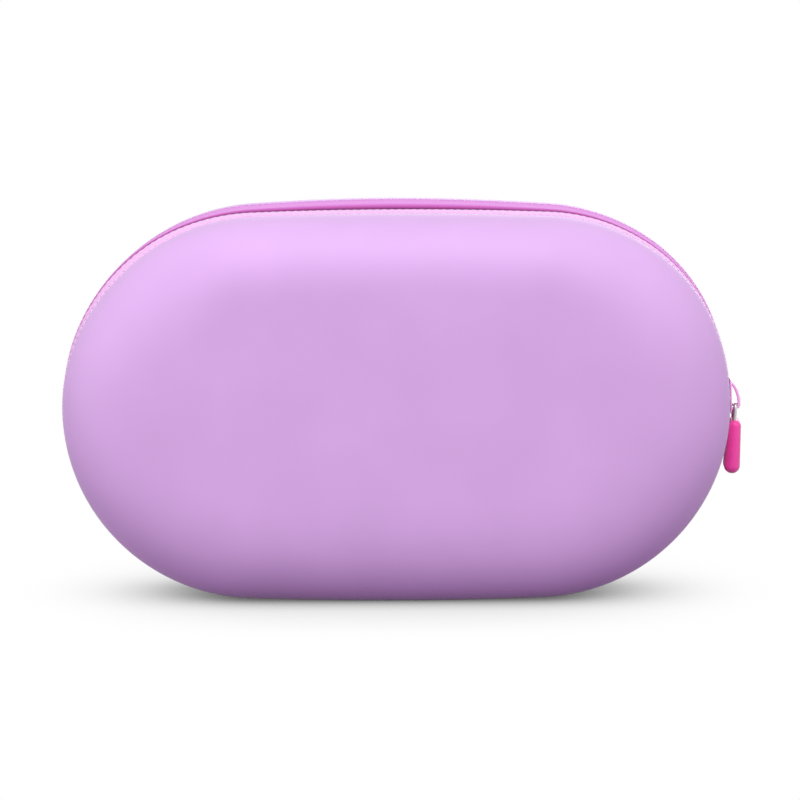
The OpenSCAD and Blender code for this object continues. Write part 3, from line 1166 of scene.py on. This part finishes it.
@dataclass
class SeamStitches:
    """The zigzag seam that binds a half's edge to the tape and the hinge strip."""

    side: Side
    thread: float = 0.3
    proud: float = 0.3
    sink: float = 0.9
    pitch: float = 1.0
    points_a_stitch: int = 5
    sides: int = 5

    @property
    def span(self) -> tuple[float, float]:
        """Depths that the seam swings between, the rear one pulled in over its tape."""
        return (7.7, 10.1) if self.side is Side.FRONT else (7.6, 9.2)

    def build(self) -> Piece:
        """Runs the thread all round: depth swings by a triangle wave, dipping at its turns.

        Returns:
            The seam, riding on its half.
        """
        inner, outer = self.span
        whole = RIM.marks[0][-1]
        stitches = int(whole / self.pitch / 2) * 2
        turn = np.arange(stitches * self.points_a_stitch) / self.points_a_stitch
        depth = inner + (outer - inner) * np.abs(np.mod(turn, 2.0) - 1)
        dip = 1 - np.abs(np.sin(math.pi * turn)) ** 0.6
        out = self.thread * self.proud - self.thread * self.sink * dip
        angle = RIM.angle_at(turn * whole / stitches)
        path = RIM.skin(depth, out, angle, self.side, LAYOUT.share(depth), self.thread / 2)
        surface = Surface()
        surface.tube(path, RIM.outward(angle), self.thread / 2, self.sides, closed=True)
        return surface.build(self.side.of("seam_stitches"), THREADS[self.side],
                             self.side.of("seam_thread"), "thread", self.side.body,
                             STRAND_SHARP)


@dataclass
class Stop:
    """A moulded stop at an end of the zip, under the tapes."""

    name: str
    node: str
    at_start: bool
    sides: tuple[Side, ...]
    over: float = 0.4
    edge: float = 0.4
    clear: float = 0.05
    squareness: float = 6.0

    def to_part(self, local: Array) -> Array:
        """Turns places on the stop (out, across, up) into the part's frame.

        Args:
            local: Places about the stop's middle on the rim line.

        Returns:
            The same places, bent along the round end.
        """
        start, end = LAYOUT.zip_far
        far = start + LAYOUT.stop_l / 2 if self.at_start else end - LAYOUT.stop_l / 2
        angle = RIM.angle_at(np.array(far)) + np.degrees(local[:, 2] / RIM.end_r)
        return RIM.skin(local[:, 1], local[:, 0], angle, Side.REAR)

    def build(self) -> Piece:
        """A block with round edges that follows the round end.

        Returns:
            The stop, riding on the half that carries it.
        """
        near, reach = LAYOUT.coil_in, LAYOUT.coil_in + LAYOUT.coil_w + self.over
        low = -reach if Side.FRONT in self.sides else near
        high = reach if Side.REAR in self.sides else -near
        plan = rounded_plan((high - low) / 2, LAYOUT.stop_l / 2 - self.clear,
                            self.squareness)
        plan[:, 0] += (high + low) / 2
        surface = Surface()
        deep = LAYOUT.rebate + LAYOUT.coil_h + self.over
        surface.pillow(plan, -deep, -LAYOUT.rebate - self.clear, self.edge)
        surface.move(self.to_part)
        return surface.build(self.name, STOP_NYLON, self.node, "stop", self.sides[-1].body)


@dataclass
class HingeStrip:
    """The woven strip under the base that joins the halves."""

    bend: float = 2.2
    step: float = 1.5
    columns: int = 33
    round_edge: float = 0.02
    end_gap: float = 0.05

    def build(self) -> Piece:
        """Carries a flat section along the base, between the two ends of the zip.

        Returns:
            The strip, on no body, with its place baked into its mesh.
        """
        t, w = LAYOUT.tape_t, LAYOUT.tape_w
        across = np.linspace(-w, w, self.columns)
        section = np.concatenate([
            np.stack([across[::-1], np.zeros(self.columns)], 1),
            [[-w - self.round_edge, -t / 2]],
            np.stack([across, np.full(self.columns, -t)], 1),
            [[w + self.round_edge, -t / 2]]])
        start = RIM.end_span + self.end_gap
        angle = np.linspace(180 + start, 360 - start, int(2 * RIM.end_x / self.step))
        points = RIM.skin(section[:, :1], section[:, 1:], angle, Side.REAR)
        upper = section[:, 1:] < -t / 2
        points[..., 2] = np.where(upper, np.maximum(points[..., 2], t), points[..., 2])
        surface = Surface()
        surface.strip(points, section, RIM.far_at(angle), flip=False)
        made = surface.build("woven_hinge", HINGE_TAPE, "hinge_strip", "zip_tape")
        Side.REAR.body
        Side.FRONT.body
        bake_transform(made)
        return made


# Slider, link and pull


@dataclass
class Slider:
    """The die-cast slider: two plates, side walls, a wedge and a bridge for the link."""

    angle: float = 1.4
    length: float = 10.4
    mouth_w: float = 9.6
    tail_w: float = 8.6
    squareness: float = 4.5
    plate_t: float = 1.0
    top_face: float = 1.0
    room: float = 0.57
    top_edge: float = 0.2
    low_edge: float = 0.38
    wall_t: float = 0.9
    wall_edge: float = 0.25
    wall_squareness: float = 6.0
    clear: float = 0.3
    wedge_w: float = 1.4
    wedge_l: float = 2.6
    wedge_tail: float = 0.5
    wedge_edge: float = 0.1
    wedge_clear: float = 0.1
    wedge_squareness: float = 3.0
    neck_w: float = 0.56
    neck_edge: float = 0.05
    neck_in: float = 0.5
    neck_out: float = 0.2
    bridge_w: float = 2.6
    bridge_t: float = 1.0
    bridge_rise: float = 2.3
    bridge_rings: int = 60
    bridge_sides: int = 28
    foot_share: float = 0.42
    foot_t: float = 1.2
    corner: float = 1.0

    @property
    def seat_out(self) -> float:
        """Distance out that the bridge and the link are placed from."""
        return self.clear + self.plate_t

    @property
    def low_out(self) -> float:
        """Depth of the inner face of the lower plate, past the curved coils."""
        sag = RIM.end_r - math.sqrt(RIM.end_r ** 2 - self.length ** 2 / 4)
        return LAYOUT.rebate + LAYOUT.coil_h + self.clear + sag

    @property
    def foot_along(self) -> float:
        """Upper side of the bridge's lower foot, along the zip."""
        return -self.foot_share * self.length + self.foot_t / 2

    def to_part(self, local: Array) -> Array:
        """Turns places on the slider (out, across, up) into the part's frame.

        Args:
            local: Places with X out from the rim, Y across and Z up along the zip.

        Returns:
            The same places, turned by the slider's angle about the round end's middle.
        """
        a = math.radians(self.angle)
        x, y, z = local[..., 0] + RIM.end_r, local[..., 1], local[..., 2]
        return np.stack([RIM.end_x + x * math.cos(a) - z * math.sin(a), y,
                         RIM.mid_z + x * math.sin(a) + z * math.cos(a)], -1)

    def bridge_path(self) -> Array:
        """Middle line of the bridge: a smooth cubic curve through six places.

        Returns:
            Places out and along, evenly spaced.
        """
        shares = np.array([[-0.3, 0.42], [0.38, 0.24], [0.8, -0.02], [0.86, -0.18],
                           [0.7, -0.33], [-0.3, -0.4]])
        knots = shares * [self.bridge_rise, self.length] + [self.seat_out, 0.0]
        knots = np.concatenate([2 * knots[:1] - knots[1:2], knots,
                                2 * knots[-1:] - knots[-2:-1]])
        t = np.linspace(0.0, 1.0, 12, endpoint=False)[:, None, None]
        a, b, c, d = knots[:-3], knots[1:-2], knots[2:-1], knots[3:]
        curve = 0.5 * (2 * b + (c - a) * t + (2 * a - 5 * b + 4 * c - d) * t ** 2
                       + (3 * b - a - 3 * c + d) * t ** 3)
        return even(curve.transpose(1, 0, 2).reshape(-1, 2), self.bridge_rings)

    def bridge(self) -> Array:
        """Carries a rounded bar section along the bridge's middle line.

        Returns:
            Places by ring, place and axis.
        """
        line = self.bridge_path()
        ahead = unit(np.gradient(line, axis=0))
        across = np.stack([-ahead[:, 1], ahead[:, 0]], 1)
        t = np.linspace(0.0, TURN, self.bridge_sides, endpoint=False)
        high = self.bridge_t / 2 * squared(np.sin(t), 0.7)
        wide = self.bridge_w / 2 * squared(np.cos(t), 0.55)
        flat = line[:, None] + high[None, :, None] * across[:, None]
        return np.stack([flat[..., 0], np.broadcast_to(wide, flat.shape[:2]), flat[..., 1]], -1)

    def build(self) -> Piece:
        """Puts the plates, walls, wedge and bridge together in the slider's own frame.

        Returns:
            The slider, riding on its own body.
        """
        surface = Surface()
        half_l, low = self.length / 2, -self.low_out
        plan = rounded_plan(self.mouth_w / 2, half_l, self.squareness, 96,
                            self.tail_w / self.mouth_w)
        surface.pillow(plan, self.room, self.top_face, self.top_edge, 7)
        surface.pillow(plan, low - self.plate_t, low, self.low_edge, 7)
        low -= self.plate_t / 2
        wall_y = LAYOUT.coil_in + LAYOUT.coil_w + self.clear + self.wall_t / 2
        for y in (-wall_y, wall_y):
            wall = rounded_plan(self.wall_t / 2, half_l - self.corner,
                                self.wall_squareness) + [y, 0.0]
            surface.pillow(wall, low, -LAYOUT.rebate - self.clear, self.wall_edge, 4)
        along = [0.0, -half_l + self.corner / 2 + self.wedge_l / 2]
        wedge = rounded_plan(self.wedge_w / 2, self.wedge_l / 2, self.wedge_squareness,
                             tail=self.wedge_tail) + along
        surface.pillow(wedge, low, -LAYOUT.tape_t - self.wedge_clear,
                       self.wedge_edge, 3)
        neck = rounded_plan(self.neck_w / 2, self.wedge_l / 2,
                            self.wedge_squareness) + along
        surface.pillow(neck, -LAYOUT.rebate - self.neck_in, self.room + self.neck_out,
                       self.neck_edge, 3)
        surface.bar(self.bridge())
        surface.move(self.to_part)
        return surface.build("enamelled_slider", PINK_ENAMEL, "slider_body", "slider",
                             "slider", 50.0)


SLIDER = Slider()


@dataclass
class Pull:
    """The wire link that hangs on the bridge, and the silicone pull moulded on its legs."""

    wire: float = 1.1
    link_w: float = 5.6
    bend_r: float = 1.2
    link_l: float = 4.6
    leg_depth: float = 3.4
    tab_l: float = 16.3
    tab_w: float = 9.4
    top_t: float = 3.6
    low_t: float = 4.8
    set_out: float = 0.3
    lean: float = 3.6
    link_clear: float = 0.25
    link_play: float = 0.75
    wire_sides: int = 20
    bend_steps: int = 13
    straight_steps: int = 8
    rows: int = 49
    columns: int = 72

    def to_part(self, local: Array) -> Array:
        """Turns places on the pull (out, across, up) into the part's frame.

        Args:
            local: Places about the middle of the link's bar.

        Returns:
            The same places, leaning in a little and moved to the bar's place.
        """
        out = SLIDER.seat_out + self.link_clear + self.wire / 2
        along = SLIDER.foot_along + self.wire / 2 + self.link_play
        a = math.radians(SLIDER.angle + self.lean)
        x = out + local[..., 0] * math.cos(a) + local[..., 2] * math.sin(a)
        z = along - local[..., 0] * math.sin(a) + local[..., 2] * math.cos(a)
        return SLIDER.to_part(np.stack([x, local[..., 1], z], -1))

    def link(self) -> Piece:
        """Bends the wire: a leg, a quarter turn, the bar, a quarter turn, a leg.

        Returns:
            The link, riding on the pull's body.
        """
        t = np.linspace(0.0, QUARTER, self.bend_steps)
        half, r, count = self.link_w / 2, self.bend_r, self.straight_steps
        foot = -self.link_l - self.leg_depth
        turn = np.stack([half - r + r * np.cos(t), -r + r * np.sin(t)], 1)
        leg = np.stack([np.full(count, half),
                        np.linspace(foot, -r, count, endpoint=False)], 1)
        one = np.concatenate([leg, turn])
        bar = np.stack([np.linspace(half - r, r - half, count), np.zeros(count)], 1)[1:-1]
        flat = np.concatenate([one, bar, one[::-1] * [-1, 1]])
        path = np.concatenate([np.zeros((len(flat), 1)), flat], 1)
        surface = Surface()
        surface.tube(path, np.array([1.0, 0.0, 0.0]), self.wire / 2, self.wire_sides)
        surface.move(self.to_part)
        return surface.build("nickel_link", NICKEL, "pull_link", "link", "pull", 60.0)

    def tab(self) -> Piece:
        """The farthest place in each direction n of four balls: middle + r n.

        Returns:
            The silicone pull, riding on its own body.
        """
        up = np.linspace(0.0, math.pi, self.rows)[:, None]
        turn = (np.arange(self.columns) + 0.5)[None] * TURN / self.columns
        n = np.stack([np.sin(up) * np.cos(turn), np.sin(up) * np.sin(turn),
                      np.cos(up) * np.ones_like(turn)], -1)
        top = n[..., 2] > 0.02
        r = np.where(top, self.top_t, self.low_t) / 2
        z = np.where(top, -self.link_l - self.top_t / 2,
                     -self.link_l - self.tab_l + self.low_t / 2)
        pole = np.abs(np.sin(up)) < 1e-6
        y = np.where(pole, 0.0, np.sign(n[..., 1]) * (self.tab_w / 2 - r))
        surface = Surface()
        surface.grid(np.stack([np.full_like(y, self.set_out), y, z], -1) + r[..., None] * n,
                     ring=True, flip=True)
        surface.move(self.to_part)
        return surface.build("silicone_pull", PULL_SILICONE, "pull_tab", "pull", "pull", 60.0)


# The studio


@dataclass(frozen=True)
class Lamp:
    """A soft square lamp, aimed at the pouch."""

    name: str
    place: tuple[float, float, float]
    power: float
    size: float = 0.8
    aim: tuple[float, float, float] = (0.0, 0.0, 0.06)

    def build(self) -> None:
        """Makes the lamp and turns it to its aim."""
        data = bpy.data.lights.new(self.name, "AREA")
        data.size, data.energy = self.size, self.power
        made = bpy.data.objects.new(self.name, data)
        made.location = self.place
        way = Vector(self.aim) - Vector(self.place)
        made.rotation_euler = way.to_track_quat("-Z", "Y").to_euler()
        bpy.context.scene.collection.objects.link(made)


@dataclass
class Studio:
    """White surroundings, soft lamps, a floor that keeps the shadow, and the camera."""

    fill: float = 0.46
    floor_colour: str = "#6A3A72"
    floor_half: float = 4.0
    shadow_reach: float = 0.075
    shadow_start: float = 0.2
    shadow_power: float = 1.65
    shadow_depth: float = 0.9
    elevation: float = 10.9
    azimuth: float = 1.0
    distance: float = 1.995
    lens: float = 300.5
    aim: tuple[float, float, float] = (0.0012, 0.0, 0.0583)
    lamps: tuple[Lamp, ...] = (
        Lamp("key_lamp", (0.1, -0.85, 1.05), 11.7, 0.9),
        Lamp("left_lamp", (-1.2, -0.6, 0.2), 6.3),
        Lamp("right_lamp", (1.2, -0.6, 0.2), 3.3),
        Lamp("back_lamp", (0.3, 1.4, 0.2), 6.0),
    )

    def seen(self, tree: Tree) -> Node:
        """Adds a switch: 1 for rays of the camera, of reflections and through glass, else 0.

        Args:
            tree: Node tree that gets it.

        Returns:
            The node that gives the switch.
        """
        path = add(tree, "ShaderNodeLightPath").outputs
        gloss = add(tree, "ShaderNodeMath", {
            0: path["Is Glossy Ray"], 1: path["Is Transmission Ray"]}, operation="MAXIMUM")
        return add(tree, "ShaderNodeMath", {
            0: path["Is Camera Ray"], 1: gloss}, operation="MAXIMUM")

    def world(self) -> None:
        """White surroundings: full white to the camera and in gloss, a plain fill else."""
        made = bpy.data.worlds.new("white_studio")
        bpy.context.scene.world = made
        made.use_nodes = True
        tree = made.node_tree
        tree.nodes.clear()
        strength = add(tree, "ShaderNodeMapRange", spread(
            self.seen(tree), 0.0, 1.0, self.fill, 1.0))
        back = add(tree, "ShaderNodeBackground", {
            "Color": (1.0, 1.0, 1.0, 1.0), "Strength": strength})
        add(tree, "ShaderNodeOutputWorld", {"Surface": back})

    def floor(self) -> None:
        """A floor that shows white, with the soft shadow of what stands on it.

        To the camera and in reflections it lets the white behind it through, dimmed where
        the pouch stands over it, so that a half that swings below it in an opened pose isn't
        hidden. To all other light it is matt and plum, which gives the underside of the
        pouch the tone that it has in the photograph.
        """
        mesh = bpy.data.meshes.new("floor")
        h = self.floor_half
        mesh.from_pydata([(-h, -h, 0), (h, -h, 0), (h, h, 0), (-h, h, 0)], [], [(0, 1, 2, 3)])
        made = bpy.data.objects.new("floor", mesh)
        bpy.context.scene.collection.objects.link(made)
        paint = bare_material("shadow_floor")
        tree = paint.node_tree
        cover = add(tree, "ShaderNodeAmbientOcclusion", {
            "Distance": self.shadow_reach}, samples=24)
        hidden = add(tree, "ShaderNodeMapRange", spread(
            cover.outputs["AO"], 1.0 - self.shadow_start, 0.0, 0.0, 1.0))
        deep = add(tree, "ShaderNodeMath", {
            0: hidden, 1: self.shadow_power}, operation="POWER")
        light = add(tree, "ShaderNodeMapRange", spread(
            deep, 0.0, 1.0, 1.0, 1.0 - self.shadow_depth))
        clear = add(tree, "ShaderNodeBsdfTransparent", {
            "Color": add(tree, "ShaderNodeCombineColor", {0: light, 1: light, 2: light})})
        matt = add(tree, "ShaderNodeBsdfDiffuse", {"Color": linear(self.floor_colour)})
        add(tree, "ShaderNodeOutputMaterial", {"Surface": add(
            tree, "ShaderNodeMixShader", {0: self.seen(tree), 1: matt, 2: clear})})
        mesh.materials.append(paint)
        made.visible_shadow = False

    def camera(self) -> None:
        """Puts the camera in front, a little above the pouch and a little to its left."""
        data = bpy.data.cameras.new("camera")
        data.lens, data.sensor_width = self.lens, 36.0
        made = bpy.data.objects.new("camera", data)
        e, a = math.radians(self.elevation), math.radians(self.azimuth)
        back = Vector((-math.sin(a) * math.cos(e), -math.cos(a) * math.cos(e), math.sin(e)))
        made.location = Vector(self.aim) + back * self.distance
        made.rotation_euler = (-back).to_track_quat("-Z", "Y").to_euler()
        bpy.context.scene.collection.objects.link(made)
        bpy.context.scene.camera = made

    def build(self) -> None:
        """Sets up the whole studio."""
        bpy.context.scene.view_settings.view_transform = "Standard"
        self.world()
        self.floor()
        for lamp in self.lamps:
            lamp.build()
        self.camera()


def report(made: Piece) -> None:
    """Logs a finished piece with its faces."""
    LOG.info("%s: %d faces", made.name, len(made.data.polygons))


def main() -> None:
    """Builds the studio and every piece, in order."""
    logging.basicConfig(level=logging.INFO, format="%(name)s: %(message)s")
    Studio().build()
    for side in Side:
        for kind in (HalfShell, ZipTape, ZipCoil, FillerCord, CoilStitches, SeamStitches):
            report(kind(side).build())
    for piece in (
            HingeStrip(),
            Stop("starting_stop", "bottom_stop", False, (Side.FRONT, Side.REAR)),
            Stop("front_closing_stop", "front_top_stop", True, (Side.FRONT,)),
            Stop("rear_closing_stop", "rear_top_stop", True, (Side.REAR,)),
            SLIDER):
        report(piece.build())
    pull = Pull()
    report(pull.link())
    report(pull.tab())


if __name__ == "__main__":
    main()
